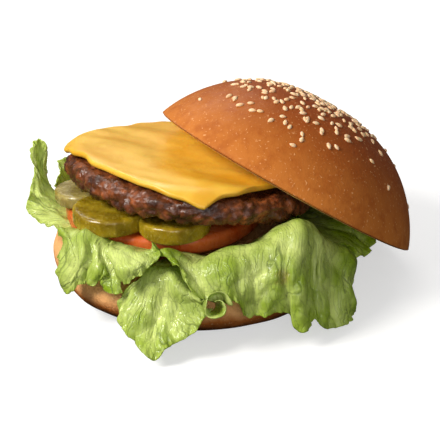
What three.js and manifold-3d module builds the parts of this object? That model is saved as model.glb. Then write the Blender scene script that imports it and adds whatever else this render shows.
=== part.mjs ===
// Cheeseburger: a seeded crown leaning off the stack, cheese, patty, pickles, tomato, lettuce and heel.
// Millimetres, Z up, X to the right, Y away from the viewer. The origin is the centre of the heel's base.
import * as THREE from 'three';
import { mergeVertices } from 'three/addons/utils/BufferGeometryUtils.js';
import Module from 'manifold-3d';

const wasm = await Module();
wasm.setup();

// Driving sizes
const CLEARANCE = 0.3; // air left between neighbouring pieces
const CROWN_CLEARANCE = 0.4; // air left in the crown's dent

const HEEL_RADIUS = 54.8;
const HEEL_HEIGHT = 17.2;
const HEEL_BASE_RADIUS = 42.5;
const HEEL_SEGMENTS = 40;
const HEEL_UNEVEN = [0.008, 0.005]; // shares of the radius, three and five times round
// Profile of the side as [share of the radius, height]
const HEEL_SIDE = [[0.87, 1.5], [0.948, 4.6], [1, 9.2], [0.99, 12.6], [0.958, 15.5], [0.915, 16.9]];
const HEEL_TOP_SHARE = 0.86;

const TOMATO = {
  radius: 36, height: 6.5, edge: 2.2, centre: [-13, -2, 23.4], pitch: 3, roll: 1, segments: 36,
  lobes: 0.012, lobeCount: 5,
};

const PATTY_RADIUS = 46.5;
const PATTY_HEIGHT = 9.6;
const PATTY_CENTRE = [-1.9, 0, 33.8]; // centre of the underside
const PATTY_PITCH = 9; // degrees, leaning away from the viewer
const PATTY_ROLL = 6; // degrees, leaning to the right
const PATTY_SEGMENTS = 48;
const PATTY_FLAT_RINGS = [12, 24, 34]; // radii of the rings on the flat faces
const PATTY_EDGE = 5.5; // depth of the rounded side
const PATTY_EDGE_ROWS = 7;
const PATTY_EDGE_FULLNESS = 0.75; // below 1 squares the side up
const PATTY_RELIEF = 0.75; // height of the crags
const PATTY_CRAG = 5; // width of a crag
const PATTY_LOBES = 0.012;
const PATTY_TUCK = 4; // how much shorter the radius is under the crown
const PATTY_TUCK_ANGLE = 34; // degrees round the patty, where the crown presses on it

const CHEESE_THICKNESS = 2.2;
const CHEESE_LEFT_CORNER = [48.3, 173]; // reach from the middle along the slice, and angle in degrees
const CHEESE_FRONT_CORNER = [50, 274];
const CHEESE_FLAT_REACH = 40.5; // where the slice starts to bend over the patty's edge
const CHEESE_BEND_RADIUS = 8.6;
const CHEESE_BEND_LIMIT = 62; // degrees, how far the slice turns down
const CHEESE_BOW = 0.33; // how far the front left edge bows out between its corners
const CHEESE_SLIGHT_BOW = 0.05; // the same for the other edges
const CHEESE_WRINKLE = 0.3;
const CHEESE_CELLS = 12;

// Pickle slices lean by pitch and roll, and taper from the front to the back
const PICKLES = [
  { name: 'pickle_left', radius: 14, height: 6.8, taper: 0.26, centre: [-30.5, -24, 32.1], pitch: 1, roll: 0 },
  { name: 'pickle_front', radius: 12.8, height: 6.9, taper: 0.4, centre: [-8.6, -30.3, 32], pitch: 0, roll: 0 },
  { name: 'pickle_pale', radius: 10.8, height: 5.2, taper: 0.1, centre: [-41.5, -4.5, 31.3], pitch: 4, roll: -4 },
  { name: 'pickle_back', radius: 12.2, height: 3.9, taper: 0.25, centre: [-36.5, 19, 29.7], pitch: 3, roll: 1 },
];
const PICKLE_SHAPE = { edge: 1.1, segments: 22, lobes: 0.02, lobeCount: 3 };
const LOBE_PHASE = 0.7; // radians

const CROWN_RADIUS = 51.5;
const CROWN_HEIGHT = 32.4;
const CROWN_LIP = 1.6; // rounding of the rim
const CROWN_CENTRE = [31.2, 5.4, 33.5]; // centre of the cut face
const CROWN_AXIS = [0.4867, 0.3055, 0.8194];
const CROWN_SEGMENTS = 48;
const CROWN_ROWS = 11;
const CROWN_FULLNESS = [2.6, 0.8]; // powers of the dome's profile
const CROWN_ROW_SPREAD = 0.8; // below 1 gathers rows at the rim

const SEED_COUNT = 60;
const SEED_HALF_SIZES = [1.55, 0.95, 0.6]; // of the largest seed
const SEED_SHRINK = 0.25; // the last seed is smaller than the first by this share
const SEED_SPREAD = 0.88; // share of the dome's radius that carries seeds
const SEED_CROWDING = 0.85; // one half is even, above it gathers seeds at the top
const SEED_STEPS = [0.7548776662, 0.5698402910]; // steps that never repeat, outwards and round
const SEED_GRAIN = [[0, -1], [1, -0.1], [0.66, 0.72], [0, 1]];
const SEED_SIDES = 5;

const LEAF_THICKNESS = 0.9;
const LEAF_ALONG = 5; // cells from root to edge
const LEAF_CELLS_A_RIB = 2;
// A leaf comes out of the stack along its root, which turns from one angle to another at a radius and a
// height. Each rib then passes through a shoulder, a middle and an edge: [angle, radius, height] each.
const LEAVES = [
  {
    name: 'lettuce_front', root: { from: 246, to: 270, radius: 30, height: 19 },
    ribs: [
      [[248, 50, 24], [245, 55.5, 21], [242, 58.5, 15.3]],
      [[250, 51, 25.7], [247, 57, 19.3], [243.5, 62, 9.7]],
      [[252, 51.5, 26.8], [250, 58, 18.5], [248, 65, 7.7]],
      [[254.5, 52, 27.3], [252.5, 58.5, 18.5], [251.5, 68, 6.3]],
      [[256.5, 52.5, 27.8], [255.5, 58.5, 18.2], [257.5, 71.5, 1.7]],
      [[259, 53, 27.6], [258.5, 58.5, 18.2], [261, 68, 4.9]],
      [[261.5, 54, 26.5], [262, 58.5, 18], [266, 65.5, 8]],
      [[264.5, 55, 24], [265.5, 58.5, 18], [270, 63, 10.6]],
      [[268, 56, 21.7], [269.5, 58, 18.6], [272.5, 61, 14.4]],
      [[271, 57, 20.3], [272.5, 58, 17.7], [275, 59, 17]],
    ],
  },
  {
    name: 'lettuce_left', root: { from: 208, to: 240, radius: 32, height: 19 },
    ribs: [
      [[206, 53, 29], [215, 57, 30.4], [216.5, 60, 24]],
      [[212, 53, 31.2], [223, 60, 31], [218, 61.5, 19]],
      [[218, 52.5, 33], [227, 61.5, 27.3], [222, 62, 12.7]],
      [[222, 51.5, 33.8], [229.5, 60.5, 30], [227, 60.5, 17.5]],
      [[226, 51, 33], [231, 57.5, 27], [229, 59, 19.6]],
      [[229.5, 50.5, 32], [234.5, 59, 28], [233, 60, 20.3]],
      [[232.5, 50.5, 31], [235.5, 57, 26.8], [236.5, 58, 23.7]],
      [[236.5, 51, 29.8], [237.5, 57.5, 23.8], [238, 58.5, 19]],
      [[241, 52, 29], [242.5, 57.5, 23.6], [244.5, 58.5, 19.5]],
    ],
  },
  {
    name: 'lettuce_right', root: { from: 262, to: 334, radius: 31, height: 22.5 },
    ribs: [
      [[255, 49.5, 32.9], [257, 52, 33.2], [259, 54.5, 32.8]],
      [[258, 49, 33.3], [260.5, 54, 32.5], [262.5, 57, 30.4]],
      [[262.5, 49, 32], [264, 55, 29.8], [265.5, 58, 26.2]],
      [[268.5, 49.5, 29.7], [269.5, 57, 26.5], [270.5, 60, 21.6]],
      [[274.5, 49, 31.6], [275, 57.5, 26.6], [277, 60, 19.5]],
      [[281, 49.5, 33.4], [280.5, 58, 27.6], [282.5, 59.5, 19]],
      [[289, 50, 34.7], [286, 58.5, 26.4], [286, 59.5, 11.8]],
      [[297, 50.5, 35.7], [291.5, 59.5, 26.7], [291, 61, 12.8]],
      [[304.5, 51, 38.8], [297.5, 61, 27], [297.5, 62.5, 12.8]],
      [[310.5, 52, 40.6], [302.5, 63, 26.3], [301.5, 66, 5.8]],
      [[316.5, 52.5, 38], [309.5, 60.5, 22.7], [307.5, 64.5, 8]],
      [[321.5, 53, 33], [312, 62.5, 24], [311, 67.5, 3.4]],
      [[328, 54, 27], [320.5, 61, 16.8], [317.5, 68, 1.4]],
      [[333, 55.5, 21], [326, 63.5, 15], [324, 66.5, 1.6]],
      [[336, 56, 17.5], [333, 61.5, 11], [330, 64, 5]],
    ],
  },
  {
    name: 'lettuce_curl', root: { from: 234, to: 252, radius: 30, height: 21.5 },
    ribs: [
      [[233.5, 50.5, 31.5], [237.5, 55.5, 30.6], [241.5, 58, 28]],
      [[237, 50.5, 32], [242.5, 59.5, 30.4], [246, 60, 25.2]],
      [[241, 50, 32.8], [247.5, 60.5, 31.6], [248.5, 60, 26.6]],
      [[245.5, 50, 32.5], [251, 59, 33], [251.5, 60, 29]],
      [[249.5, 50, 33], [253, 55.5, 33], [254, 57.5, 31.3]],
      [[253, 49.5, 34.3], [254.5, 52, 33.5], [256.5, 54, 32.4]],
    ],
  },
  {
    name: 'lettuce_frill', root: { from: 206, to: 166, radius: 31, height: 21.8 },
    ribs: [
      [[206, 40, 23.5], [205, 46.5, 25.5], [204.5, 50, 28]],
      [[199, 41, 24], [197, 49, 25], [195, 57.5, 26]],
      [[194, 42, 24], [190, 53, 27], [188, 63, 30]],
      [[189, 43, 24.5], [187, 54, 29], [185.5, 61.5, 35.5]],
      [[185, 44, 26], [184, 56, 33.5], [183, 59.5, 44]],
      [[182, 46, 28], [181.5, 57, 39], [181, 59, 52.5]],
      [[178, 46, 27.5], [178.5, 57, 38], [179, 55, 51.5]],
      [[175, 46, 26], [177, 56, 33.5], [178, 55, 43]],
      [[171, 46, 24], [174, 56, 28], [175, 55.5, 34]],
      [[167, 45, 23], [169, 54, 25], [170, 56, 28]],
    ],
  },
  {
    name: 'lettuce_shade', root: { from: 338, to: 383, radius: 30, height: 19 },
    ribs: [
      [[339, 45.5, 20.2], [340, 54, 19.5], [340, 59, 17]],
      [[346.5, 45.5, 20.5], [347.5, 55, 18], [348, 61.5, 12]],
      [[355.5, 45.5, 20.3], [356.5, 57.5, 17.7], [357, 63, 11]],
      [[365, 45.5, 20], [366, 55.5, 16.8], [366, 63, 9.5]],
      [[375, 45.5, 19.5], [375, 56.5, 15.7], [375, 60.5, 8]],
      [[383, 45, 19.5], [382.5, 55, 16], [382, 58.5, 9]],
    ],
  },
  {
    name: 'lettuce_back_right', root: { from: 27, to: 84, radius: 30, height: 19.2 },
    ribs: [
      [[27, 45, 19.5], [27, 55, 15.5], [27, 59, 7]],
      [[37, 45.5, 19.3], [37, 57, 14.6], [37, 60, 5]],
      [[48, 45.5, 19.8], [48, 56, 15], [48, 61, 5]],
      [[60, 46, 20.8], [60.5, 58, 16.8], [61, 62, 7]],
      [[72, 46, 21.4], [72.5, 56.5, 17.7], [73, 63, 8]],
      [[84, 45.5, 21.4], [84.5, 56, 19], [85, 61, 12]],
    ],
  },
  {
    name: 'lettuce_back', root: { from: 89, to: 133, radius: 30, height: 19.2 },
    ribs: [
      [[89, 45.5, 21], [89.5, 55.5, 19], [90, 60, 13]],
      [[98, 46, 21.4], [98, 58, 17.7], [98, 63, 8]],
      [[107, 46.5, 21.5], [107, 57.5, 16.8], [107, 65, 5]],
      [[116, 46.5, 21.3], [116, 59, 17.2], [116, 64, 7]],
      [[125, 46, 21.2], [125, 56, 18], [125, 62, 10]],
      [[133, 45, 21.2], [132.5, 54.5, 19.5], [132, 59, 14]],
    ],
  },
  {
    name: 'lettuce_back_left', root: { from: 138, to: 162, radius: 30, height: 19.2 },
    ribs: [
      [[138.5, 44.5, 21], [139.5, 54, 21.2], [140, 58, 20]],
      [[144.5, 45, 21.7], [145.5, 54, 24.3], [146, 57.5, 27]],
      [[150.5, 45, 22.4], [151.5, 53.5, 27], [152, 56, 33]],
      [[155.5, 45, 22.8], [156.5, 53.5, 28.3], [157, 55.5, 36]],
      [[159.5, 45, 22.4], [160.5, 53.5, 27], [161, 56, 33]],
      [[162.5, 44.5, 21.7], [163.5, 53.5, 24.3], [164, 57, 27]],
    ],
  },
];

// Colour and roughness of each plain material
const CRUST = { color: 0xb26a30, roughness: 0.5 };
const HEEL_CRUST = { color: 0xc98444, roughness: 0.7 };
const CHEESE = { color: 0xeeb93f, roughness: 0.4 };
const BEEF = { color: 0x5c3b2c, roughness: 0.45 };
const TOMATO_SKIN = { color: 0xb7451f, roughness: 0.35 };
const PICKLE_FLESH = { color: 0x84721b, roughness: 0.35 };
const LEAF = { color: 0xa9bd5c, roughness: 0.45 };

// Small helpers
const radians = THREE.MathUtils.degToRad;
const mix = THREE.MathUtils.lerp;
const fract = (value) => value - Math.floor(value);
const hash = (i, j, k) => fract(Math.sin(i * 127.1 + j * 311.7 + k * 74.7) * 43758.5453);
const soft = (t) => t * t * (3 - 2 * t);

// Smooth noise from 0 to 1 with one value on each whole number
function noise(x, y, z) {
  const [i, j, k] = [Math.floor(x), Math.floor(y), Math.floor(z)];
  const [u, v, w] = [soft(x - i), soft(y - j), soft(z - k)];
  const row = (b, c) => mix(hash(i, j + b, k + c), hash(i + 1, j + b, k + c), u);
  return mix(mix(row(0, 0), row(1, 0), v), mix(row(0, 1), row(1, 1), v), w);
}

function axisFrame(centre, axis) {
  const away = new THREE.Vector3().crossVectors(axis, new THREE.Vector3(1, 0, 0)).normalize();
  const right = new THREE.Vector3().crossVectors(away, axis);
  return new THREE.Matrix4().makeBasis(right, away, axis).setPosition(...centre);
}

// A frame whose Z leans by pitch (away) and roll (right), in degrees
function leaningFrame(centre, pitch, roll) {
  const axis = new THREE.Vector3(Math.tan(radians(roll)), Math.tan(radians(pitch)), 1).normalize();
  return axisFrame(centre, axis);
}

// A lathe about Z from a profile of [radius, height] that starts and ends on the axis, bottom first
function turned(profile, segments) {
  const outline = profile.map(([radius, height]) => new THREE.Vector2(radius, height));
  return new THREE.LatheGeometry(outline, segments).rotateX(Math.PI / 2);
}

// Moves every corner of a geometry by a function of its place
function moved(geometry, move) {
  const corners = geometry.getAttribute('position');
  const corner = new THREE.Vector3();
  for (let index = 0; index < corners.count; index += 1) {
    const { x, y, z } = move(corner.fromBufferAttribute(corners, index));
    corners.setXYZ(index, x, y, z);
  }
  return geometry;
}

// A closed solid from a geometry, with its shared corners merged and its empty triangles dropped
function solid(geometry, frame = new THREE.Matrix4()) {
  for (const name of ['normal', 'uv']) geometry.deleteAttribute(name);
  const merged = mergeVertices(geometry, 1e-4).applyMatrix4(frame);
  const corners = merged.index.array;
  const triVerts = [];
  for (let start = 0; start < corners.length; start += 3) {
    const [a, b, c] = corners.subarray(start, start + 3);
    if (a !== b && b !== c && c !== a) triVerts.push(a, b, c);
  }
  const vertProperties = new Float32Array(merged.getAttribute('position').array);
  return new wasm.Manifold(new wasm.Mesh({ numProp: 3, vertProperties, triVerts: new Uint32Array(triVerts) }));
}

// The largest body left after cutting
function largest(body) {
  return body.decompose().reduce((best, other) => (other.volume() > best.volume() ? other : best));
}

// A closed sheet of even thickness; surface gives a point for u across and v along, both from 0 to 1.
// Both faces come from one plane grid, so that they are triangulated alike.
function sheet(surface, across, along, thickness) {
  const grid = new THREE.PlaneGeometry(1, 1, across, along);
  const [uv, faces] = [grid.getAttribute('uv'), Array.from(grid.index.array)];
  const step = 1e-3;
  const sides = [[], []];
  for (let index = 0; index < uv.count; index += 1) {
    const [u, v] = [uv.getX(index), uv.getY(index)];
    const slopeU = surface(Math.min(u + step, 1), v).sub(surface(Math.max(u - step, 0), v));
    const slopeV = surface(u, Math.min(v + step, 1)).sub(surface(u, Math.max(v - step, 0)));
    const outward = slopeU.cross(slopeV).setLength(thickness / 2);
    sides[0].push(...surface(u, v).add(outward).toArray());
    sides[1].push(...surface(u, v).sub(outward).toArray());
  }
  const back = faces.map((corner) => corner + uv.count).reverse();
  const geometry = new THREE.BufferGeometry();
  geometry.setAttribute('position', new THREE.Float32BufferAttribute(sides.flat(), 3));
  geometry.setIndex([...faces, ...back, ...sheetBorder(across, along, uv.count)]);
  return geometry;
}

// The strip round a sheet's border, from the front grid to the back one
function sheetBorder(across, along, count) {
  const at = (i, j) => j * (across + 1) + i;
  const border = [];
  for (let j = 0; j < along; j += 1) border.push(at(0, j));
  for (let i = 0; i < across; i += 1) border.push(at(i, along));
  for (let j = along; j > 0; j -= 1) border.push(at(across, j));
  for (let i = across; i > 0; i -= 1) border.push(at(i, 0));
  return border.flatMap((a, index) => {
    const b = border[(index + 1) % border.length];
    return [a, a + count, b, b, a + count, b + count];
  });
}

// Heel: flat base, full round side, flat cut top
function heel(grow = 0) {
  const radius = HEEL_RADIUS + grow;
  const rise = (height) => height + grow * (2 * height / HEEL_HEIGHT - 1);
  const side = HEEL_SIDE.map(([share, height]) => [radius * share, rise(height)]);
  const top = HEEL_HEIGHT + grow;
  const profile = [
    [0, -grow], [HEEL_BASE_RADIUS + grow, -grow], ...side, [radius * HEEL_TOP_SHARE, top], [0, top],
  ];
  return solid(moved(turned(profile, HEEL_SEGMENTS), (point) => {
    const angle = Math.atan2(point.y, point.x);
    const uneven = 1 + HEEL_UNEVEN[0] * Math.sin(3 * angle + 1) + HEEL_UNEVEN[1] * Math.sin(5 * angle);
    return point.multiply(new THREE.Vector3(uneven, uneven, 1));
  }));
}

// A round slice with rounded edges, its underside on the XY plane
function slice({ radius, height, edge, segments, lobes, lobeCount }, grow) {
  const [low, high, out] = [-grow, height + grow, radius + grow];
  const [across, down] = [edge * 0.3, edge * 0.35]; // where the rounding turns
  const profile = [
    [0, low], [out - edge, low], [out - across, low + down], [out, low + edge],
    [out, high - edge], [out - across, high - down], [out - edge, high], [0, high],
  ];
  return moved(turned(profile, segments), (point) => {
    const uneven = 1 + lobes * Math.sin(lobeCount * Math.atan2(point.y, point.x) + LOBE_PHASE);
    return point.multiply(new THREE.Vector3(uneven, uneven, 1));
  });
}

function tomato(grow = 0) {
  return solid(slice(TOMATO, grow), leaningFrame(TOMATO.centre, TOMATO.pitch, TOMATO.roll));
}

function pickle({ radius, height, taper, centre, pitch, roll }, grow = 0) {
  const body = moved(slice({ radius, height, ...PICKLE_SHAPE }, grow), (point) => {
    const back = (point.y / radius + 1) / 2;
    return point.setZ(point.z * (1 - taper * back));
  });
  return solid(body, leaningFrame(centre, pitch, roll));
}

// Patty: a thick round with a soft edge and crags all over
const pattyFrame = leaningFrame(PATTY_CENTRE, PATTY_PITCH, PATTY_ROLL);

function pattyEdge(angle) {
  const facing = Math.max(0, Math.cos(angle - radians(PATTY_TUCK_ANGLE)));
  return 1 + PATTY_LOBES * Math.sin(4 * angle + 2) - facing * facing * PATTY_TUCK / PATTY_RADIUS;
}

function pattyProfile() {
  const middle = PATTY_HEIGHT / 2;
  const side = [];
  for (let row = 0; row <= PATTY_EDGE_ROWS; row += 1) {
    const angle = Math.PI * (row / PATTY_EDGE_ROWS - 0.5);
    const reach = Math.abs(Math.cos(angle)) ** PATTY_EDGE_FULLNESS;
    side.push([PATTY_RADIUS - PATTY_EDGE * (1 - reach), middle * (1 + Math.sin(angle))]);
  }
  const under = PATTY_FLAT_RINGS.map((radius) => [radius, 0]);
  const over = PATTY_FLAT_RINGS.map((radius) => [radius, PATTY_HEIGHT]).reverse();
  return [[0, 0], ...under, ...side, ...over, [0, PATTY_HEIGHT]];
}

// Height of the crags from -1 to 1: lumps with smaller lumps on them
function crag(point) {
  const [x, y, z] = point.clone().divideScalar(PATTY_CRAG).addScalar(9).toArray();
  return 2 * (noise(x, y, z) + 0.5 * noise(2 * x, 2 * y, 2 * z) - 0.75) / 1.5;
}

function patty(grow = 0) {
  return solid(moved(turned(pattyProfile(), PATTY_SEGMENTS), (point) => {
    const side = Math.hypot(point.x, point.y) / PATTY_RADIUS;
    const relief = PATTY_RELIEF * crag(point) * soft(Math.min(1, side)) + grow;
    const outward = new THREE.Vector3(point.x, point.y, 0);
    if (side > 0) outward.setLength(side ** 6);
    outward.z = Math.sign(point.z - PATTY_HEIGHT / 2) * (1 - 0.8 * side ** 8);
    const reach = pattyEdge(Math.atan2(point.y, point.x));
    point.multiply(new THREE.Vector3(reach, reach, 1));
    return point.addScaledVector(outward.normalize(), relief);
  }), pattyFrame);
}

// Cheese: a square slice lying on the patty, its corners bent down over the edge
function cornerArm([reach, angle]) {
  return new THREE.Vector2(reach, 0).rotateAround(new THREE.Vector2(), radians(angle));
}

function cheesePoint(u, v) {
  const [a, b] = [u + v - 1, u - v];
  const between = 4 * Math.abs(a * b) / Math.max((Math.abs(a) + Math.abs(b)) ** 2, 1e-9);
  const bow = a > 0 && b > 0 ? CHEESE_BOW : CHEESE_SLIGHT_BOW;
  const flat = cornerArm(CHEESE_LEFT_CORNER).multiplyScalar(a);
  flat.addScaledVector(cornerArm(CHEESE_FRONT_CORNER), b).multiplyScalar(1 + bow * between);
  const [reach, angle] = [flat.length(), flat.angle()];
  const past = Math.max(0, reach - CHEESE_FLAT_REACH * pattyEdge(angle));
  const turn = Math.min(past / CHEESE_BEND_RADIUS, radians(CHEESE_BEND_LIMIT));
  const straight = past - turn * CHEESE_BEND_RADIUS;
  const along = reach - past + CHEESE_BEND_RADIUS * Math.sin(turn) + straight * Math.cos(turn);
  const drop = CHEESE_BEND_RADIUS * (1 - Math.cos(turn)) + straight * Math.sin(turn);
  const wave = Math.sin(flat.x * 0.13 + flat.y * 0.31 + 1) * Math.sin(flat.x * 0.09 + 2);
  return new THREE.Vector3(along * Math.cos(angle), along * Math.sin(angle), CHEESE_WRINKLE * wave - drop);
}

function cheese(grow = 0) {
  const lift = PATTY_HEIGHT + PATTY_RELIEF + CHEESE_WRINKLE + CLEARANCE + CHEESE_THICKNESS / 2;
  const margin = grow / CHEESE_LEFT_CORNER[0];
  const surface = (u, v) => cheesePoint(mix(-margin, 1 + margin, u), mix(-margin, 1 + margin, v));
  const body = sheet(surface, CHEESE_CELLS, CHEESE_CELLS, CHEESE_THICKNESS + 2 * grow);
  return solid(body.translate(0, 0, lift), pattyFrame);
}

// Crown: a domed half with a soft rim; the cut face is dented where the stack presses into it
const crownFrame = axisFrame(CROWN_CENTRE, new THREE.Vector3(...CROWN_AXIS).normalize());

function domeHeight(share) {
  const [reach, lift] = CROWN_FULLNESS;
  return CROWN_HEIGHT * (1 - share ** reach) ** lift;
}

function dome(grow = 0) {
  const profile = [[0, -grow], [CROWN_RADIUS / 2, -grow], [CROWN_RADIUS - CROWN_LIP, -grow]];
  for (let row = 1; row <= CROWN_ROWS; row += 1) {
    const share = Math.cos(Math.PI / 2 * (row - 0.8) / CROWN_ROWS) ** CROWN_ROW_SPREAD;
    profile.push([CROWN_RADIUS * share + grow, domeHeight(share) + grow]);
  }
  profile.push([0, CROWN_HEIGHT + grow]);
  return solid(turned(profile, CROWN_SEGMENTS), crownFrame);
}

// Seeds sit half sunk in the crust, largest first
function seed(index) {
  const [out, round] = SEED_STEPS.map((step) => fract(0.5 + index * step));
  const share = SEED_SPREAD * out ** SEED_CROWDING;
  const angle = 2 * Math.PI * round;
  const step = 1e-3;
  const slope = (domeHeight(share + step) - domeHeight(Math.abs(share - step))) / (2 * step * CROWN_RADIUS);
  const outward = new THREE.Vector3(-slope * Math.cos(angle), -slope * Math.sin(angle), 1).normalize();
  const radius = CROWN_RADIUS * share;
  const place = new THREE.Vector3(radius * Math.cos(angle), radius * Math.sin(angle), domeHeight(share));
  const up = new THREE.Vector3(0, 0, 1);
  const spin = new THREE.Quaternion().setFromAxisAngle(up, 2 * Math.PI * hash(index, 2, 0));
  const tilt = new THREE.Quaternion().setFromUnitVectors(up, outward);
  const size = new THREE.Vector3(...SEED_HALF_SIZES).multiplyScalar(1 - SEED_SHRINK * index / SEED_COUNT);
  const pose = new THREE.Matrix4().compose(place, tilt.multiply(spin), size);
  return solid(turned(SEED_GRAIN, SEED_SIDES), pose.premultiply(crownFrame));
}

function crown() {
  let body = dome();
  for (let index = 0; index < SEED_COUNT; index += 1) body = body.add(seed(index));
  const presses = [patty(CROWN_CLEARANCE), cheese(CROWN_CLEARANCE), heel(CLEARANCE)];
  for (const press of presses) body = body.subtract(press);
  return largest(body);
}

// Smooth curve through a list of points, where place counts from the first point
function blend(points, place) {
  const index = Math.min(Math.floor(place), points.length - 2);
  const t = place - index;
  const near = [-1, 0, 1, 2].map((step) => points[THREE.MathUtils.clamp(index + step, 0, points.length - 1)]);
  return near[0].map((a, axis) => {
    const [b, c, d] = near.slice(1).map((point) => point[axis]);
    return b + 0.5 * t * (c - a + t * (2 * a - 5 * b + 4 * c - d + t * (3 * (b - c) + d - a)));
  });
}

// A point of a leaf: u across its ribs, v from root to edge
function leafPoint({ root, ribs }, u, v) {
  const rib = [[mix(root.from, root.to, u), root.radius, root.height]];
  for (const row of [0, 1, 2]) rib.push(blend(ribs.map((points) => points[row]), u * (ribs.length - 1)));
  const [angle, radius, height] = blend(rib, v * (rib.length - 1));
  return new THREE.Vector3(radius * Math.cos(radians(angle)), radius * Math.sin(radians(angle)), height);
}

function leafSolid(leaf, grow = 0) {
  const clockwise = leaf.root.from > leaf.root.to;
  const surface = (u, v) => leafPoint(leaf, clockwise ? 1 - u : u, v);
  const across = LEAF_CELLS_A_RIB * (leaf.ribs.length - 1);
  return solid(sheet(surface, across, LEAF_ALONG, LEAF_THICKNESS + 2 * grow));
}

// Assembly: pickles and leaves are cut clear of everything before them
const group = new THREE.Group();
group.name = 'cheeseburger';

function addPiece(name, body, look) {
  const { vertProperties, triVerts } = body.getMesh();
  const geometry = new THREE.BufferGeometry();
  geometry.setAttribute('position', new THREE.BufferAttribute(new Float32Array(vertProperties), 3));
  geometry.setIndex(new THREE.BufferAttribute(new Uint32Array(triVerts), 1));
  geometry.computeVertexNormals();
  const piece = new THREE.Mesh(geometry, new THREE.MeshStandardMaterial(look));
  piece.name = name;
  group.add(piece);
}

addPiece('heel', heel(), HEEL_CRUST);
addPiece('tomato', tomato(), TOMATO_SKIN);
addPiece('patty', patty(), BEEF);
addPiece('cheese', largest(cheese().subtract(patty(CLEARANCE))), CHEESE);
addPiece('crown', crown(), CRUST);

const neighbours = [heel, tomato, patty, cheese, dome].map((build) => build(CLEARANCE));

function addTrimmed(name, build, look) {
  let body = build(0);
  for (const neighbour of neighbours) body = body.subtract(neighbour);
  addPiece(name, largest(body), look);
  neighbours.push(build(CLEARANCE));
}

for (const one of PICKLES) addTrimmed(one.name, (grow) => pickle(one, grow), PICKLE_FLESH);
for (const leaf of LEAVES) addTrimmed(leaf.name, (grow) => leafSolid(leaf, grow), LEAF);

export default group;
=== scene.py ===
# %% [markdown]
# # A cheeseburger with a leaning crown
# This lesson dresses the solids of a cheeseburger. The solids fix every place and size, and each one
# is replaced by a finer piece of the same form: bread, cheese, beef, pickle, tomato and lettuce.
# Sizes are written in millimetres and turned into metres where a piece is made.

# %% Load the solids
import math

import bmesh
import bpy
from mathutils import Matrix, Vector, noise
from mathutils.bvhtree import BVHTree


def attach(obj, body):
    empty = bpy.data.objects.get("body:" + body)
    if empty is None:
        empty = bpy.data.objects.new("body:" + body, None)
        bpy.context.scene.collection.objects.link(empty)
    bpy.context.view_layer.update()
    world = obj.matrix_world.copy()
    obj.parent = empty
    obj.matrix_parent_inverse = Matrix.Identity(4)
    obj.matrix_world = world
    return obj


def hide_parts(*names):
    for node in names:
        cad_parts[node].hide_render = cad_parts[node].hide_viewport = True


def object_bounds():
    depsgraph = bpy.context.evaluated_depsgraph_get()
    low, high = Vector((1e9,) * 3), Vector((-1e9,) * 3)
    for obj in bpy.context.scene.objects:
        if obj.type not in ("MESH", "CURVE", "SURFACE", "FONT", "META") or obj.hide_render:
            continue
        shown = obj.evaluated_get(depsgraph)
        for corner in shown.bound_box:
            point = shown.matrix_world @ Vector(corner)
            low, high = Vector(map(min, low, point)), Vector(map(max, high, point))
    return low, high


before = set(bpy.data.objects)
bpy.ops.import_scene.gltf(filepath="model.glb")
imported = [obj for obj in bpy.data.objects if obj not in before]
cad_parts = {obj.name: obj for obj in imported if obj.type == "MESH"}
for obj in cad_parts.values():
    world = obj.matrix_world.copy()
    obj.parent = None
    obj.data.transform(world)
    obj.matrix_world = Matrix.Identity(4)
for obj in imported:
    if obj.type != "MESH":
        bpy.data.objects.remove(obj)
solid_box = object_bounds()
MM = 0.001
solid_sides = [round(side / MM, 1) for side in solid_box[1] - solid_box[0]]
print("solids:", len(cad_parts), "box in mm:", solid_sides)

# %% [markdown]
# ## The camera
# The photograph looks down at the heel by about 27 degrees, from a distance that flattens perspective.
# A long lens at 650 mm gives the same ellipses, so the camera is worked out from the width of its view.

# %% Camera
VIEW_ELEVATION = math.radians(27)
VIEW_DISTANCE = 650 * MM
VIEW_WIDTH = 163.7 * MM  # what the picture spans at the distance of the burger
LOOK_AT = Vector((7.44, 8.28, 16.24)) * MM

camera = bpy.data.objects.new("camera", bpy.data.cameras.new("camera"))
bpy.context.collection.objects.link(camera)
camera.data.lens = camera.data.sensor_width * VIEW_DISTANCE / VIEW_WIDTH
camera.data.clip_start = 0.01
towards_camera = Vector((0, -math.cos(VIEW_ELEVATION), math.sin(VIEW_ELEVATION)))
camera.location = LOOK_AT + towards_camera * VIEW_DISTANCE
camera.rotation_euler = (math.pi / 2 - VIEW_ELEVATION, 0, 0)
bpy.context.scene.camera = camera
print("camera lens", round(camera.data.lens, 1), "mm")

# %% [markdown]
# ## Light and floor
# Food is lit softly so that wet surfaces get broad highlights. One large lamp high on the left is the
# key, because the crown is bright on its left and falls into shade on its right. A weak lamp fills the
# front, and one behind makes the thin leaves glow. The world is white to the eye, but as a light it is
# dim, and darker from below, so that undersides keep their depth.

# %% Light and floor
bpy.context.scene.view_settings.view_transform = "Standard"


def soft_lamp(name, place, size, watts, tint, sheen=1.0):
    lamp = bpy.data.objects.new(name, bpy.data.lights.new(name, "AREA"))
    lamp.data.size = size
    lamp.data.energy = watts
    lamp.data.color = tint
    lamp.data.specular_factor = sheen
    lamp.location = place
    lamp.rotation_euler = (LOOK_AT - Vector(place)).to_track_quat("-Z", "Y").to_euler()
    bpy.context.collection.objects.link(lamp)
    print("lamp", name, watts, "W")


soft_lamp("key", (-0.60, -0.30, 0.62), 0.30, 10.6, (1.0, 0.97, 0.92))
soft_lamp("front_fill", (0.15, -0.9, 0.35), 0.5, 2.9, (1.0, 0.98, 0.96))
soft_lamp("back_glow", (-0.15, 0.6, 0.55), 0.4, 2.4, (1.0, 0.98, 0.94), sheen=0.0)

# %% [markdown]
# The sky is a map from the height of a direction to a strength, and the camera alone sees plain white.

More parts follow.
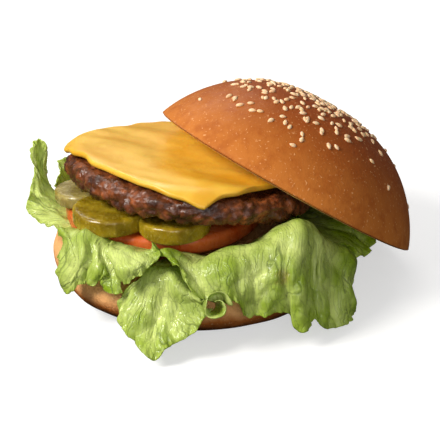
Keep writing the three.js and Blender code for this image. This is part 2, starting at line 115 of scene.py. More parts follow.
# %% Sky
world = bpy.data.worlds.new("studio")
bpy.context.scene.world = world
world.use_nodes = True
LIGHT_FROM_BELOW = 0.05
LIGHT_FROM_ABOVE = 0.32
world_nodes = world.node_tree.nodes
world_links = world.node_tree.links
backdrop = world_nodes["Background"]
backdrop.inputs["Color"].default_value = (1, 1, 1, 1)
direction = world_nodes.new("ShaderNodeSeparateXYZ")
world_links.new(world_nodes.new("ShaderNodeTexCoord").outputs["Generated"], direction.inputs["Vector"])
sky = world_nodes.new("ShaderNodeMapRange")
world_links.new(direction.outputs["Z"], sky.inputs["Value"])
for socket_name, level in (("From Min", -0.3), ("From Max", 0.5), ("To Min", LIGHT_FROM_BELOW),
                           ("To Max", LIGHT_FROM_ABOVE)):
    sky.inputs[socket_name].default_value = level
seen_or_light = world_nodes.new("ShaderNodeMix")
light_path = world_nodes.new("ShaderNodeLightPath")
world_links.new(light_path.outputs["Is Camera Ray"], seen_or_light.inputs["Factor"])
world_links.new(sky.outputs["Result"], seen_or_light.inputs["A"])
seen_or_light.inputs["B"].default_value = 1.0
world_links.new(seen_or_light.outputs["Result"], backdrop.inputs["Strength"])

# %% [markdown]
# The floor is one flat face. It glows a little, as a lit table does, so that shadows stay faint.

# %% Floor
FLOOR_HALF = 1.5
floor_shape = bmesh.new()
bmesh.ops.create_grid(floor_shape, x_segments=1, y_segments=1, size=FLOOR_HALF)
floor_mesh = bpy.data.meshes.new("floor")
floor_shape.to_mesh(floor_mesh)
floor_shape.free()
floor = bpy.data.objects.new("floor", floor_mesh)
bpy.context.collection.objects.link(floor)
floor_paint = bpy.data.materials.new("pale_floor")
floor_paint.use_nodes = True
floor_shader = floor_paint.node_tree.nodes["Principled BSDF"]
floor_shader.inputs["Base Color"].default_value = (0.5, 0.5, 0.5, 1)
floor_shader.inputs["Roughness"].default_value = 0.9
floor_shader.inputs["Emission Color"].default_value = (1, 1, 1, 1)
floor_shader.inputs["Emission Strength"].default_value = 0.55
floor_mesh.materials.append(floor_paint)
floor.visible_diffuse = False  # the floor throws no light back up
floor.visible_glossy = False
print("floor", 2 * FLOOR_HALF, "m wide")

# %% [markdown]
# ## Helpers for finishes
# Every finish starts as a Principled shader. These helpers add a node, join two sockets, and turn a
# colour as it looks on a screen into the linear one that shaders use.

# %% Finish helpers


def screen_colour(red, green, blue):
    linear = []
    for level in (red, green, blue):
        share = level / 255
        linear.append(share / 12.92 if share <= 0.04045 else ((share + 0.055) / 1.055) ** 2.4)
    return (*linear, 1.0)


class Finish:
    """A material under construction: nodes are added by kind and joined by socket."""

    def __init__(self, name):
        self.material = bpy.data.materials.new(name)
        self.material.use_nodes = True
        self.tree = self.material.node_tree
        self.shader = self.tree.nodes["Principled BSDF"]
        self.place = self.add("ShaderNodeTexCoord").outputs["Object"]

    def feed(self, socket, value):
        """Joins a socket to another one, or sets it to a plain value."""
        if isinstance(value, bpy.types.NodeSocket):
            self.tree.links.new(value, socket)
        else:
            socket.default_value = value

    def add(self, kind, settings=None, **inputs):
        node = self.tree.nodes.new(kind)
        for name, value in (settings or {}).items():
            setattr(node, name, value)
        for name, value in inputs.items():
            self.feed(node.inputs[name.replace("_", " ")], value)
        return node

    def set(self, **inputs):
        for name, value in inputs.items():
            self.feed(self.shader.inputs[name.replace("_", " ")], value)

    def noise(self, size, detail=3.0, vector=None, distortion=0.0, roughness=0.55):
        """Noise whose blotches are about size millimetres wide."""
        node = self.add("ShaderNodeTexNoise", Vector=vector or self.place, Scale=1 / (size * MM),
                        Detail=detail, Distortion=distortion, Roughness=roughness)
        return node.outputs["Fac"]

    def cells(self, size, feature="F1", vector=None, scale=None):
        """Voronoi cells about size millimetres wide; returns the distance."""
        node = self.add("ShaderNodeTexVoronoi", {"feature": feature}, Vector=vector or self.place,
                        Scale=scale or 1 / (size * MM))
        return node.outputs["Distance"]

    def range(self, value, low, high, to_low=0.0, to_high=1.0):
        node = self.add("ShaderNodeMapRange", {"interpolation_type": "SMOOTHSTEP"}, Value=value)
        for name, number in (("From Min", low), ("From Max", high), ("To Min", to_low), ("To Max", to_high)):
            node.inputs[name].default_value = number
        return node.outputs["Result"]

    def math(self, operation, first, second=0.0):
        node = self.add("ShaderNodeMath", {"operation": operation})
        for socket, value in zip(node.inputs, (first, second)):
            self.feed(socket, value)
        return node.outputs["Value"]

    def blend(self, share, first, second, mode="MIX"):
        node = self.add("ShaderNodeMix", {"data_type": "RGBA", "blend_type": mode, "clamp_factor": True})
        sockets = {"Factor_Float": share, "A_Color": first, "B_Color": second}
        for socket in node.inputs:
            if socket.identifier in sockets:
                self.feed(socket, sockets[socket.identifier])
        return next(socket for socket in node.outputs if socket.identifier == "Result_Color")

    def bump(self, height, depth, strength=1.0):
        """Bump of depth millimetres."""
        node = self.add("ShaderNodeBump", Height=height, Distance=depth * MM, Strength=strength)
        self.set(Normal=node.outputs["Normal"])
        return node

    def height_above(self, origin, axis):
        """Distance of a point from origin along axis, in metres."""
        start = self.add("ShaderNodeVectorMath", {"operation": "SUBTRACT"})
        self.tree.links.new(self.place, start.inputs[0])
        start.inputs[1].default_value = origin
        along = self.add("ShaderNodeVectorMath", {"operation": "DOT_PRODUCT"})
        self.tree.links.new(start.outputs["Vector"], along.inputs[0])
        along.inputs[1].default_value = axis
        return along.outputs["Value"]


print("finish helpers ready")

# %% [markdown]
# ## Helpers for shapes
# Round food is turned: a profile of radius and height is spun about an axis, then moved to where the
# layer lies. A layer leans by a pitch (away from the viewer) and a roll (to the right).

# %% Shape helpers


def leaning_frame(centre, pitch, roll):
    axis = Vector((math.tan(math.radians(roll)), math.tan(math.radians(pitch)), 1)).normalized()
    return axis_frame(centre, axis)


def axis_frame(centre, axis):
    away = axis.cross(Vector((1, 0, 0))).normalized()
    right = away.cross(axis)
    frame_matrix = Matrix((right, away, axis)).transposed().to_4x4()
    frame_matrix.translation = Vector(centre)
    return frame_matrix


def turned(profile, steps):
    """A closed round shape, in millimetres, from a profile of (radius, height) that ends on the axis."""
    shape = bmesh.new()
    points = [shape.verts.new((radius, 0, height)) for radius, height in profile]
    edges = [shape.edges.new(pair) for pair in zip(points, points[1:])]
    bmesh.ops.spin(shape, geom=points + edges, axis=(0, 0, 1), cent=(0, 0, 0), steps=steps,
                   angle=2 * math.pi, use_merge=True)
    bmesh.ops.remove_doubles(shape, verts=shape.verts, dist=1e-4)
    bmesh.ops.recalc_face_normals(shape, faces=shape.faces)
    return shape


def put_in_place(shape, name, material, nodes, matrix=None):
    """Moves a shape in millimetres to its place in metres and makes it a piece."""
    bmesh.ops.transform(shape, matrix=Matrix.Scale(MM, 4) @ (matrix or Matrix()), verts=shape.verts)
    mesh = bpy.data.meshes.new(name)
    shape.to_mesh(mesh)
    shape.free()
    mesh.shade_smooth()
    mesh.materials.append(material)
    piece = bpy.data.objects.new(name, mesh)
    bpy.context.collection.objects.link(piece)
    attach(piece, "root")
    if nodes:
        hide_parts(*nodes)
    print("made", name, "with", len(mesh.polygons), "faces")
    return piece


def soften(piece, levels):
    rounding = piece.modifiers.new("rounding", "SUBSURF")
    rounding.levels = levels
    rounding.render_levels = levels


def thicken(piece, thickness):
    wall = piece.modifiers.new("thickness", "SOLIDIFY")
    wall.thickness = thickness * MM
    wall.offset = 0


def mix(low, high, share):
    return low + (high - low) * share


def smooth(share):
    share = min(max(share, 0.0), 1.0)
    return share * share * (3 - 2 * share)


def fract(value):
    return value - math.floor(value)


def scatter(index, row):
    """A fixed number from 0 to 1 for each index and row."""
    return fract(math.sin(index * 127.1 + row * 311.7) * 43758.5453)


def lump(place, size, offset=0.0):
    """Smooth noise from -1 to 1 with lumps of size millimetres."""
    return noise.noise(place / size + Vector((offset, offset, offset)))


print("shape helpers ready")

# %% [markdown]
# ## Heel
# The heel is the bottom half of the bun. It has a flat base, a full round side and a cut top. It is
# turned from the same profile as its solid, and then pushed in and out a little, as baked dough is.
# The crust is pale at the shoulder, where the two halves touched, and dark towards the base, the oven side:
# partly the crust's own colour, partly painted shade beneath the heel and under the leaves.

# %% Heel
HEEL_RADIUS = 54.8
HEEL_HEIGHT = 17.2
HEEL_BASE_RADIUS = 42.5
HEEL_SHOULDER = [
    (0.87, 1.5), (0.948, 4.6), (1.0, 9.2), (0.99, 12.6), (0.958, 15.5), (0.915, 16.9), (0.86, HEEL_HEIGHT),
]


def heel_finish():
    finish = Finish("heel_crust")
    height = finish.height_above((0, 0, 0), (0, 0, 1))
    mottling = finish.noise(9, 4)
    blotched = finish.math("ADD", height, finish.math("MULTIPLY", mottling, 7 * MM))
    rise = finish.range(blotched, 3 * MM, 19 * MM)
    ramp = finish.add("ShaderNodeValToRGB", Fac=rise)
    # The darkest low stops are partly painted shade, beneath the heel and under the leaves.
    stops = [(0.0, (38, 19, 5)), (0.3, (92, 47, 11)), (0.6, (162, 92, 36)), (0.9, (224, 166, 108))]
    for position, colour in stops:
        stop = ramp.color_ramp.elements.new(position)
        stop.color = screen_colour(*colour)
    ramp.color_ramp.elements.remove(ramp.color_ramp.elements[-1])
    ramp.color_ramp.elements.remove(ramp.color_ramp.elements[0])
    flecks = finish.range(finish.noise(0.9, 2), 0.62, 0.72)
    finish.set(Base_Color=finish.blend(finish.math("MULTIPLY", flecks, 0.35), ramp.outputs["Color"],
                                       screen_colour(240, 200, 150)), Roughness=0.75)
    finish.set(Specular_IOR_Level=0.1)
    finish.bump(finish.math("ADD", finish.noise(1.0, 4), finish.noise(5, 2)), 0.6)
    return finish.material


def make_heel():
    profile = [(0, 0), (HEEL_BASE_RADIUS, 0)]
    profile += [(HEEL_RADIUS * share, height) for share, height in HEEL_SHOULDER]
    profile.append((0, HEEL_HEIGHT))
    shape = turned(profile, 96)
    for vert in shape.verts:
        angle = math.atan2(vert.co.y, vert.co.x)
        uneven = 1 + 0.008 * math.sin(3 * angle + 1) + 0.005 * math.sin(5 * angle)
        side = smooth((Vector((vert.co.x, vert.co.y)).length - 30) / 20)
        dent = 0.9 * side * lump(vert.co, 11) if vert.co.z > 1 else 0
        vert.co.x *= uneven + dent / HEEL_RADIUS
        vert.co.y *= uneven + dent / HEEL_RADIUS
    piece = put_in_place(shape, "heel_bun", heel_finish(), ["heel"])
    soften(piece, 2)


make_heel()

# %% [markdown]
# ## Tomato
# A thick slice with a wet skin. Its rim is rounded and a little lobed.

# %% Tomato
TOMATO_RADIUS = 36
TOMATO_HEIGHT = 6.5
TOMATO_EDGE = 2.2
TOMATO_FRAME = leaning_frame((-13, -2, 23.4), 3, 1)


def slice_profile(radius, height, edge, arc=5):
    """A slice with rounded edges, underside at height 0."""
    profile = [(0, 0), (radius * 0.5, 0)]
    for middle, start in ((edge, -90), (height - edge, 0)):
        for step in range(arc + 1):
            angle = math.radians(start + 90 * step / arc)
            profile.append((radius - edge + edge * math.cos(angle), middle + edge * math.sin(angle)))
    profile += [(radius * 0.5, height), (0, height)]
    return profile


def tomato_finish():
    finish = Finish("tomato_skin")
    mottling = finish.range(finish.noise(7, 3), 0.3, 0.7)
    finish.set(Base_Color=finish.blend(mottling, screen_colour(176, 70, 20), screen_colour(202, 100, 46)),
               Roughness=finish.range(finish.noise(3, 3), 0.35, 0.65, 0.16, 0.38),
               Subsurface_Weight=0.25, Subsurface_Scale=2 * MM)
    finish.set(Subsurface_Radius=(1.0, 0.35, 0.2), Specular_IOR_Level=0.45)
    finish.bump(finish.noise(1.6, 3), 0.06)
    return finish.material


def make_tomato():
    shape = turned(slice_profile(TOMATO_RADIUS, TOMATO_HEIGHT, TOMATO_EDGE), 96)
    for vert in shape.verts:
        angle = math.atan2(vert.co.y, vert.co.x)
        lobed = 1 + 0.012 * math.sin(5 * angle + 0.7)
        vert.co.x *= lobed
        vert.co.y *= lobed
    piece = put_in_place(shape, "tomato_slice", tomato_finish(), ["tomato"], TOMATO_FRAME)
    soften(piece, 1)


make_tomato()

# %% [markdown]
# ## Pickles
# Pickle slices are wet and half see-through, olive at the skin with pale fibres running from the
# middle. Light that enters one side leaves another, so the shader scatters light below the surface.

# %% Pickles
PICKLE_EDGE = 1.6
PICKLE_TONES = ((156, 132, 26), (112, 90, 4))
# pickle_pale's paler, greyer tones are painted sheen: the sky reflected on its top face.
PICKLE_PALE_TONES = ((158, 144, 84), (122, 106, 52))
# Name, radius, height, taper, centre, pitch and roll
PICKLES = [
    ("pickle_left", 14, 6.8, 0.26, (-30.5, -24, 32.1), 1, 0),
    ("pickle_front", 12.8, 6.9, 0.4, (-8.6, -30.3, 32), 0, 0),
    ("pickle_pale", 10.8, 5.2, 0.1, (-41.5, -4.5, 31.3), 4, -4),
    ("pickle_back", 12.2, 3.9, 0.25, (-36.5, 19, 29.7), 3, 1),
]


def pickle_finish(name, centre, light, dark):
    finish = Finish(name)
    spot = finish.add("ShaderNodeMapping", Vector=finish.place)
    spot.inputs["Location"].default_value = [-part * MM for part in centre]
    flatten = finish.add("ShaderNodeVectorMath", {"operation": "NORMALIZE"})
    finish.tree.links.new(spot.outputs["Vector"], flatten.inputs[0])
    fibres = finish.add("ShaderNodeTexNoise", Vector=flatten.outputs["Vector"], Scale=16.0, Detail=3.0)
    streak = finish.range(fibres.outputs["Fac"], 0.55, 0.75)
    tone = finish.range(finish.noise(6, 3), 0.3, 0.7)
    body = finish.blend(tone, screen_colour(*dark), screen_colour(*light))
    pale = finish.math("MULTIPLY", streak, 0.45)
    finish.set(Base_Color=finish.blend(pale, body, screen_colour(206, 188, 112)),
               Roughness=finish.range(finish.noise(2, 3), 0.35, 0.65, 0.12, 0.34),
               Subsurface_Weight=0.55, Subsurface_Scale=4 * MM)
    finish.set(Subsurface_Radius=(1.0, 0.8, 0.25), Specular_IOR_Level=0.4)
    finish.bump(finish.noise(1.3, 3), 0.12)
    return finish.material


def make_pickle(name, radius, height, taper, centre, pitch, roll):
    shape = turned(slice_profile(radius, height, PICKLE_EDGE, 4), 72)
    for vert in shape.verts:
        angle = math.atan2(vert.co.y, vert.co.x)
        uneven = 1 + 0.02 * math.sin(3 * angle + 0.7) + 0.006 * math.sin(17 * angle)
        vert.co.x *= uneven
        vert.co.y *= uneven
        vert.co.z *= 1 - taper * (vert.co.y / radius + 1) / 2
    # pickle_pale takes the tones with painted sheen.
    tones = PICKLE_PALE_TONES if name == "pickle_pale" else PICKLE_TONES
    finish = pickle_finish(name + "_flesh", centre, *tones)
    piece = put_in_place(shape, name + "_slice", finish, [name], leaning_frame(centre, pitch, roll))
    soften(piece, 1)


for pickle in PICKLES:
    make_pickle(*pickle)

# %% [markdown]
# ## Patty
# Grilled mince is a heap of soft crumbs pressed together, so its side is all crags. Real crags catch
# light at their edges, which bump alone cannot show, so the turned round has many small faces and each
# point is moved along its normal by three sizes of noise.

# %% Patty shape
PATTY_RADIUS = 46.5
PATTY_HEIGHT = 9.6
PATTY_FRAME = leaning_frame((-1.9, 0, 33.8), 9, 6)
PATTY_TUCK = 4
PATTY_TUCK_ANGLE = math.radians(34)
PATTY_EDGE = 5.5
PATTY_STEPS = 420
PATTY_EDGE_ROWS = 30


def patty_edge(angle):
    """How far the patty reaches in a direction, as a share of its radius."""
    facing = max(0.0, math.cos(angle - PATTY_TUCK_ANGLE))
    return 1 + 0.012 * math.sin(4 * angle + 2) - facing * facing * PATTY_TUCK / PATTY_RADIUS


def patty_profile():
    middle = PATTY_HEIGHT / 2
    flat = [0, 6, 12, 18, 23, 27, 30, 33, 35, 37, 38.5, 39.6]
    profile = [(radius, 0) for radius in flat]
    for step in range(PATTY_EDGE_ROWS + 1):
        angle = math.pi * (step / PATTY_EDGE_ROWS - 0.5)
        reach = abs(math.cos(angle)) ** 0.75
        profile.append((PATTY_RADIUS - PATTY_EDGE + PATTY_EDGE * reach, middle + middle * math.sin(angle)))
    return profile + [(radius, PATTY_HEIGHT) for radius in reversed(flat)]


def patty_crag(place):
    """Height of the crags: broad lumps, crumbs with clefts between them, and fine grit."""
    nearest = noise.voronoi(place / 6.0)[0]
    cleft = min(nearest[1] - nearest[0], 0.5) * 2
    small = noise.voronoi(place / 1.9 + Vector((7, 3, 5)))[0]
    grit = min(small[1] - small[0], 0.5) * 2
    return 1.0 * lump(place, 9, 3) + 1.2 * (cleft - 0.6) + 0.4 * (grit - 0.6) + 0.2 * lump(place, 1.0)


def make_patty_shape():
    shape = turned(patty_profile(), PATTY_STEPS)
    shape.normal_update()
    moves = []
    for vert in shape.verts:
        side = Vector((vert.co.x, vert.co.y)).length / PATTY_RADIUS
        depth = mix(0.35, 1.0, smooth((side - 0.7) / 0.25))
        moves.append(vert.normal * patty_crag(vert.co) * depth)
    for vert, move in zip(shape.verts, moves):
        reach = patty_edge(math.atan2(vert.co.y, vert.co.x))
        vert.co.x *= reach
        vert.co.y *= reach
        vert.co += move
    return shape


# %% [markdown]
# The beef is dark brown with greyer and redder crumbs, almost black where it touched the grill, and
# greasy: its roughness changes from crumb to crumb, so it glints in dots. Its clefts get painted shade.

# %% Patty finish


def patty_finish():
    finish = Finish("grilled_beef")
    tone = finish.range(finish.noise(6, 4), 0.32, 0.68)
    body = finish.blend(tone, screen_colour(66, 30, 11), screen_colour(150, 82, 42))
    red = finish.range(finish.noise(11, 3, distortion=0.5), 0.55, 0.7)
    body = finish.blend(finish.math("MULTIPLY", red, 0.4), body, screen_colour(118, 48, 22))
    # Painted shade: cells darken the clefts between the crumbs.
    cleft = finish.range(finish.cells(2.2), 0.1, 0.75)
    body = finish.blend(finish.math("MULTIPLY", cleft, 0.55), body, screen_colour(38, 20, 11))
    char = finish.range(finish.noise(9, 5), 0.58, 0.7)
    body = finish.blend(finish.math("MULTIPLY", char, 0.7), body, screen_colour(30, 16, 9))
    finish.set(Base_Color=body, Roughness=finish.range(finish.noise(1.6, 3), 0.38, 0.62, 0.14, 0.5))
    finish.set(Specular_IOR_Level=0.45)
    finish.bump(finish.noise(0.7, 3), 0.25)
    return finish.material


patty = put_in_place(make_patty_shape(), "beef_patty", patty_finish(), ["patty"], PATTY_FRAME)

# %% [markdown]
# ## Cheese
# A square slice lies on the hot patty and bends down over its edge. A grid is laid flat in the patty's
# frame, bowed between its corners, bent where it passes the edge, and creased by long soft wrinkles.
# A Solidify modifier gives the thickness and Subdivision rounds the cut edges.

# %% Cheese shape
CHEESE_THICKNESS = 2.2
CHEESE_LEFT_CORNER = (48.3, 173)
CHEESE_FRONT_CORNER = (50, 274)
CHEESE_FLAT_REACH = 40.5
CHEESE_BEND_RADIUS = 8.6
CHEESE_BEND_LIMIT = math.radians(62)
CHEESE_BOW = 0.33
CHEESE_SLIGHT_BOW = 0.05
PATTY_RELIEF = 0.75
CHEESE_WRINKLE = 0.3
CLEARANCE = 0.3
CHEESE_LIFT = PATTY_HEIGHT + PATTY_RELIEF + CHEESE_WRINKLE + CLEARANCE + CHEESE_THICKNESS / 2
CHEESE_CELLS = 84


def corner_arm(reach, degrees):
    return Vector((math.cos(math.radians(degrees)), math.sin(math.radians(degrees)))) * reach


def cheese_point(u, v):
    a, b = u + v - 1, u - v
    between = 4 * abs(a * b) / max((abs(a) + abs(b)) ** 2, 1e-9)
    bow = CHEESE_BOW if a > 0 and b > 0 else CHEESE_SLIGHT_BOW
    flat = (corner_arm(*CHEESE_LEFT_CORNER) * a + corner_arm(*CHEESE_FRONT_CORNER) * b) * (1 + bow * between)
    edge_wave = 1 + 0.012 * math.sin(flat.x * 0.5) + 0.01 * math.sin(flat.y * 0.6 + 1)
    flat = flat * mix(1, edge_wave, max(abs(2 * u - 1), abs(2 * v - 1)) ** 6)
    reach = flat.length
    angle = math.atan2(flat.y, flat.x)
    start = CHEESE_FLAT_REACH * patty_edge(angle)
    turn = min(max(0.0, reach - start) / CHEESE_BEND_RADIUS, CHEESE_BEND_LIMIT)
    straight = max(0.0, reach - start - turn * CHEESE_BEND_RADIUS)
    along = min(reach, start) + CHEESE_BEND_RADIUS * math.sin(turn) + straight * math.cos(turn)
    drop = CHEESE_BEND_RADIUS * (1 - math.cos(turn)) + straight * math.sin(turn)
    long_way = Vector((flat.x * 0.04, flat.y * 0.085 + flat.x * 0.03, 0.4))
    wrinkle = 0.8 * noise.noise(long_way) + 0.15 * noise.noise(long_way * 2.1)
    return Vector((along * math.cos(angle), along * math.sin(angle), CHEESE_LIFT + wrinkle - drop))


def cheese_finish():
    finish = Finish("soft_cheese")
    tone = finish.range(finish.noise(14, 2), 0.35, 0.65)
    finish.set(Base_Color=finish.blend(tone, screen_colour(212, 158, 36), screen_colour(222, 176, 60)),
               Roughness=finish.range(finish.noise(8, 3), 0.35, 0.65, 0.3, 0.46),
               Subsurface_Weight=0.3, Subsurface_Scale=3 * MM)
    finish.set(Subsurface_Radius=(1.0, 0.6, 0.15), Specular_IOR_Level=0.45)
    finish.bump(finish.noise(5, 3), 0.12)
    return finish.material


def make_cheese():
    shape = bmesh.new()
    bmesh.ops.create_grid(shape, x_segments=CHEESE_CELLS, y_segments=CHEESE_CELLS, size=0.5)
    for vert in shape.verts:
        vert.co = cheese_point(vert.co.x + 0.5, vert.co.y + 0.5)
    bmesh.ops.recalc_face_normals(shape, faces=shape.faces)
    piece = put_in_place(shape, "cheese_slice", cheese_finish(), ["cheese"], PATTY_FRAME)
    thicken(piece, CHEESE_THICKNESS)
    soften(piece, 1)
    return piece


cheese = make_cheese()

# %% [markdown]
# ## Crown
# The crown is the domed half. Its profile comes from one formula, and its cut face is dented where
# the patty and the cheese press into the soft crumb: a ray from above each point of that face finds
# how far the stack reaches in.

# %% Crown shape
CROWN_RADIUS = 51.5
CROWN_HEIGHT = 32.4
CROWN_LIP = 1.6
CROWN_CENTRE = Vector((31.2, 5.4, 33.5))
CROWN_AXIS = Vector((0.4867, 0.3055, 0.8194)).normalized()
CROWN_FRAME = axis_frame(CROWN_CENTRE, CROWN_AXIS)
CROWN_REACH_POWER = 2.6
CROWN_LIFT_POWER = 0.8
CROWN_ROWS = 40
CROWN_FACE_ROWS = 26


def dome_height(share):
    return CROWN_HEIGHT * (1 - share ** CROWN_REACH_POWER) ** CROWN_LIFT_POWER


def crown_profile():
    inner = CROWN_RADIUS - CROWN_LIP
    profile = [(inner * row / CROWN_FACE_ROWS, 0) for row in range(CROWN_FACE_ROWS + 1)]
    profile += [(CROWN_RADIUS - 0.6, 0.25), (CROWN_RADIUS - 0.1, 0.8)]
    for row in range(1, CROWN_ROWS):
        share = math.cos(math.pi / 2 * (row + 1) / (CROWN_ROWS + 1)) ** 0.8
        profile.append((CROWN_RADIUS * share, dome_height(share)))
    return profile + [(0, CROWN_HEIGHT)]


def stack_tree(pieces):
    """A search tree of the pieces that press into the crown, in the crown's frame, in millimetres."""
    depsgraph = bpy.context.evaluated_depsgraph_get()
    joined = bmesh.new()
    for piece in pieces:
        joined.from_object(piece, depsgraph)
    to_crown = CROWN_FRAME.inverted() @ Matrix.Scale(1 / MM, 4)
    bmesh.ops.transform(joined, matrix=to_crown, verts=joined.verts)
    tree = BVHTree.FromBMesh(joined)
    joined.free()
    return tree


def make_crown_shape():
    shape = turned(crown_profile(), 128)
    tree = stack_tree([patty, cheese])
    gap = 0.4
    deepest = 0.0
    for vert in shape.verts:
        if vert.co.z > 0.01:
            continue
        hit = tree.ray_cast(Vector((vert.co.x, vert.co.y, CROWN_HEIGHT)), Vector((0, 0, -1)))[0]
        if hit and hit.z > -gap:
            deepest = max(deepest, hit.z + gap)
            vert.co.z = hit.z + gap
    print("the stack presses", round(deepest, 1), "mm into the crown")
    return shape


# %% [markdown]
# The crust is satin and orange brown, darker over the top where the oven's heat was strongest and
# paler near the cut. It has faint mottling and tiny pale flecks.

# %% Crown finish


def crown_finish():
    finish = Finish("baked_crust")
    height = finish.height_above(CROWN_CENTRE * MM, CROWN_AXIS)
    uneven = finish.math("ADD", height, finish.math("MULTIPLY", finish.noise(16, 3), 9 * MM))
    rise = finish.range(uneven, 2 * MM, 40 * MM)
    side = finish.blend(rise, screen_colour(182, 108, 44), screen_colour(124, 53, 13))
    mottling = finish.range(finish.noise(5, 4), 0.4, 0.7)
    side = finish.blend(finish.math("MULTIPLY", mottling, 0.5), side, screen_colour(144, 68, 18))
    flecks = finish.range(finish.noise(0.9, 2), 0.63, 0.71)
    side = finish.blend(finish.math("MULTIPLY", flecks, 0.55), side, screen_colour(222, 166, 112))
    crumb = finish.blend(finish.range(finish.noise(2, 3), 0.35, 0.65), screen_colour(222, 186, 128),
                         screen_colour(206, 160, 96))
    colour = finish.blend(finish.range(height, 0.05 * MM, 0.35 * MM), crumb, side)
    finish.set(Base_Color=colour, Roughness=finish.range(finish.noise(4, 3), 0.3, 0.7, 0.42, 0.58))
    finish.set(Specular_IOR_Level=0.1)
    finish.bump(finish.math("ADD", finish.noise(0.9, 3), finish.noise(4, 2)), 0.14)
    return finish.material


crown = put_in_place(make_crown_shape(), "crown_bun", crown_finish(), ["crown"], CROWN_FRAME)

# %% [markdown]
# ## Seeds
# Sesame seeds are flat drops, pointed at one end, and lie on the crust at every angle. They crowd
# round the top of the dome. A fixed rule that never repeats spreads them, so each run gives the same
# seeds, and every seed keeps a shade of its own in a colour attribute.

# %% Seeds
SEED_COUNT = 240
SEED_SOLID_COUNT = 60  # the first ones are on the solid too, and keep their places
SEED_HALF = Vector((1.55, 0.95, 0.62))
SEED_SPREAD = 0.88
SEED_CROWDING = 0.85
SEED_SHRINK = 0.25
SEED_CLUSTER_CENTRE = Vector((-8, -11))  # the rest crowd round a spot in front of the top
SEED_CLUSTER_RADIUS = 28
SEED_CLUSTER_CROWDING = 0.62
SEED_STRAY = 5
SEED_SHARE_STEP = 0.7548776662
SEED_TURN_STEP = 0.5698402910


def seed_spot(index):
    """Where a seed lies on the dome: its share of the radius and its angle."""
    if index < SEED_SOLID_COUNT:
        share = SEED_SPREAD * fract(0.5 + index * SEED_SHARE_STEP) ** SEED_CROWDING
        return share, 2 * math.pi * fract(0.5 + index * SEED_TURN_STEP)
    away = SEED_CLUSTER_RADIUS * fract(index * SEED_SHARE_STEP) ** SEED_CLUSTER_CROWDING
    turn = 2 * math.pi * fract(index * SEED_TURN_STEP)
    stray = Vector((scatter(index, 3) - 0.5, scatter(index, 4) - 0.5)) * SEED_STRAY
    spot = SEED_CLUSTER_CENTRE + Vector((math.cos(turn), math.sin(turn))) * away + stray
    return spot.length / CROWN_RADIUS, math.atan2(spot.y, spot.x)


def seed_matrix(index):
    share, turn = seed_spot(index)
    step = 1e-3
    slope = (dome_height(share + step) - dome_height(abs(share - step))) / (2 * step * CROWN_RADIUS)
    outward = Vector((-slope * math.cos(turn), -slope * math.sin(turn), 1)).normalized()
    radius = CROWN_RADIUS * share
    place = Vector((radius * math.cos(turn), radius * math.sin(turn), dome_height(share)))
    tilt = Vector((0, 0, 1)).rotation_difference(outward).to_matrix().to_4x4()
    spin = Matrix.Rotation(2 * math.pi * scatter(index, 2), 4, "Z")
    size = 1 - SEED_SHRINK * fract(index / SEED_SOLID_COUNT)
    scale = Matrix.Diagonal((*(SEED_HALF * size), 1))
    return Matrix.Translation(place + outward * 0.15) @ tilt @ spin @ scale


def make_seeds():
    shape = bmesh.new()
    shade = shape.verts.layers.float_color.new("seed_shade")
    for index in range(SEED_COUNT):
        made = bmesh.ops.create_uvsphere(shape, u_segments=8, v_segments=6, radius=1)["verts"]
        tone = scatter(index, 5)
        for vert in made:
            vert.co.y *= 1 - 0.42 * smooth((vert.co.x + 0.2) / 1.2)
            vert[shade] = (tone, scatter(index, 6), 0, 1)
        bmesh.ops.transform(shape, matrix=seed_matrix(index), verts=made)
    return shape


def seed_finish():
    finish = Finish("sesame_seed")
    shade = finish.add("ShaderNodeAttribute", {"attribute_name": "seed_shade"})
    tone = finish.math("ADD", finish.math("MULTIPLY", shade.outputs["Fac"], 0.8), 0.1)
    body = finish.blend(tone, screen_colour(208, 164, 114), screen_colour(246, 224, 190))
    finish.set(Base_Color=finish.blend(finish.range(finish.noise(0.8, 2), 0.4, 0.7), body,
                                       screen_colour(216, 174, 124)), Roughness=0.45)
    finish.set(Subsurface_Weight=0.15, Subsurface_Scale=1 * MM)
    return finish.material


seeds = put_in_place(make_seeds(), "sesame_seeds", seed_finish(), [], CROWN_FRAME)
